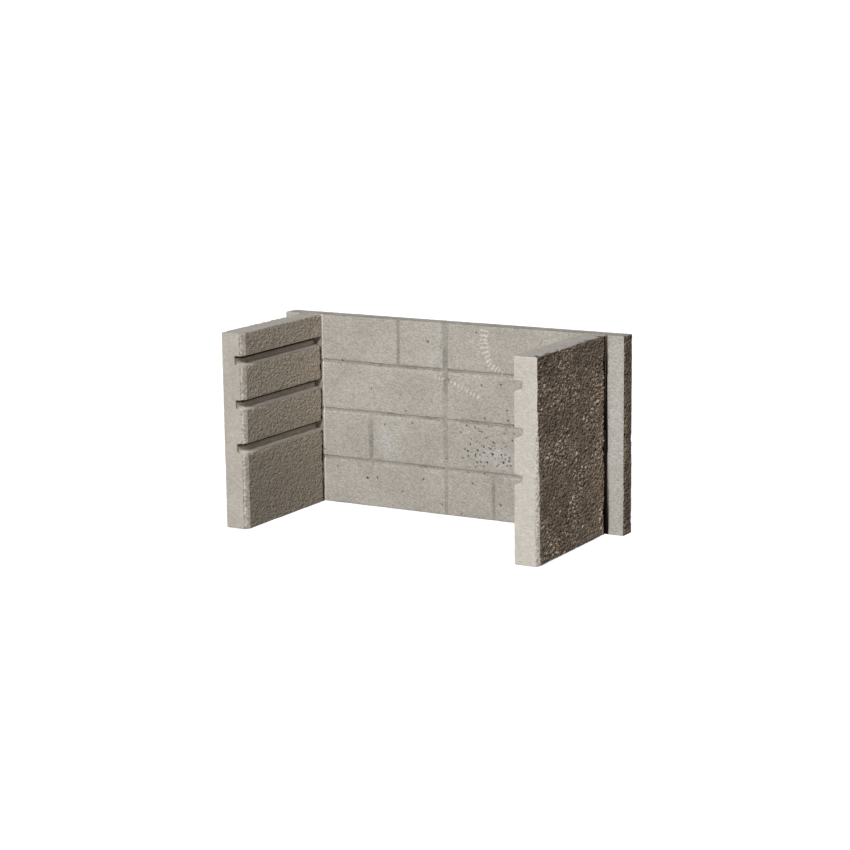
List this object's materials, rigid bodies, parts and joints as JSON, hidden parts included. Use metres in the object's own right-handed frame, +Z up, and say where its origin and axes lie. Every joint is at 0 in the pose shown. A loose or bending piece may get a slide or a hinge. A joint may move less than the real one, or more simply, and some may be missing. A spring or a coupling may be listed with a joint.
{
  "type": "precast concrete fire surround",
  "caption": "Open-fronted U-shaped surround of upright concrete slabs for a barbecue or hearth; grooves in the side slabs carry a grate, and the back slab has a stone-block face.",
  "frame": {"origin": "centre of the footprint, on the plane that the slabs stand on", "axes": "+X runs to the right of a person who faces the fire, +Y runs away from them to the rear of the back slab, +Z is up"},
  "size_m": [0.785, 0.331, 0.4],
  "materials": {
    "back_concrete": "matte",
    "side_concrete": "matte"
  },
  "bodies": {
    "root": {"back_panel": "back_concrete", "left_side_panel": "side_concrete", "right_side_panel": "side_concrete"}
  },
  "joints": []
}
